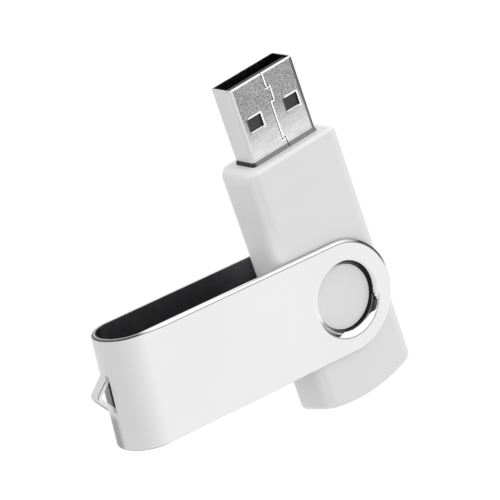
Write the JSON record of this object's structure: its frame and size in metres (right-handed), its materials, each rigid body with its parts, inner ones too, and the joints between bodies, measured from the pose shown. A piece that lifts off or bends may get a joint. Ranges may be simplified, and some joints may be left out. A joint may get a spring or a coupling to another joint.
{
  "type": "usb flash drive",
  "caption": "Pocket flash drive with a metal USB-A plug and a U-shaped painted steel cover that swivels about the casing.",
  "frame": {"origin": "bottom centre of the whole drive with the cover at its resting angle; z = 0 is the plane it lies on", "axes": "+Y towards the plug tip, +Z out of the broad face with the plug's seam, +X to the right looking down with the plug ahead"},
  "size_m": [0.05, 0.0532, 0.0097],
  "materials": {
    "casing_plastic": "satin",
    "cover_paint": "satin paint with polished edges and inside",
    "plug_steel": "brushed",
    "insulator_plastic": "matte",
    "contact_gold": "plated",
    "board_mask": "satin",
    "pad_gold": "plated",
    "package_black": "matte",
    "lead_tin": "tinned",
    "crystal_metal": "satin",
    "capacitor_ceramic": "matte",
    "resistor_ceramic": "matte",
    "light_resin": "clear resin"
  },
  "bodies": {
    "drive": {"casing_upper": "casing_plastic", "casing_lower": "casing_plastic", "plug_shell": "plug_steel", "plug_insulator": "insulator_plastic", "contact_power": "contact_gold", "contact_data_minus": "contact_gold", "contact_data_plus": "contact_gold", "contact_ground": "contact_gold", "circuit_board": "board_mask", "board_pads": "pad_gold", "memory_chip": "package_black", "memory_leads": "lead_tin", "controller_chip": "package_black", "controller_leads": "lead_tin", "crystal": "crystal_metal", "capacitors": "capacitor_ceramic", "resistors": "resistor_ceramic", "regulator": "package_black", "regulator_legs": "lead_tin", "status_light": "light_resin"},
    "cover": {"swivel_clip": "cover_paint"}
  },
  "joints": [
    {"name": "clip_swivel", "type": "hinge", "parent": "drive", "child": "cover", "pos_m": [0.01634, -0.00944, 0.00487], "axis": [0, 0, 1], "continuous": true}
  ]
}
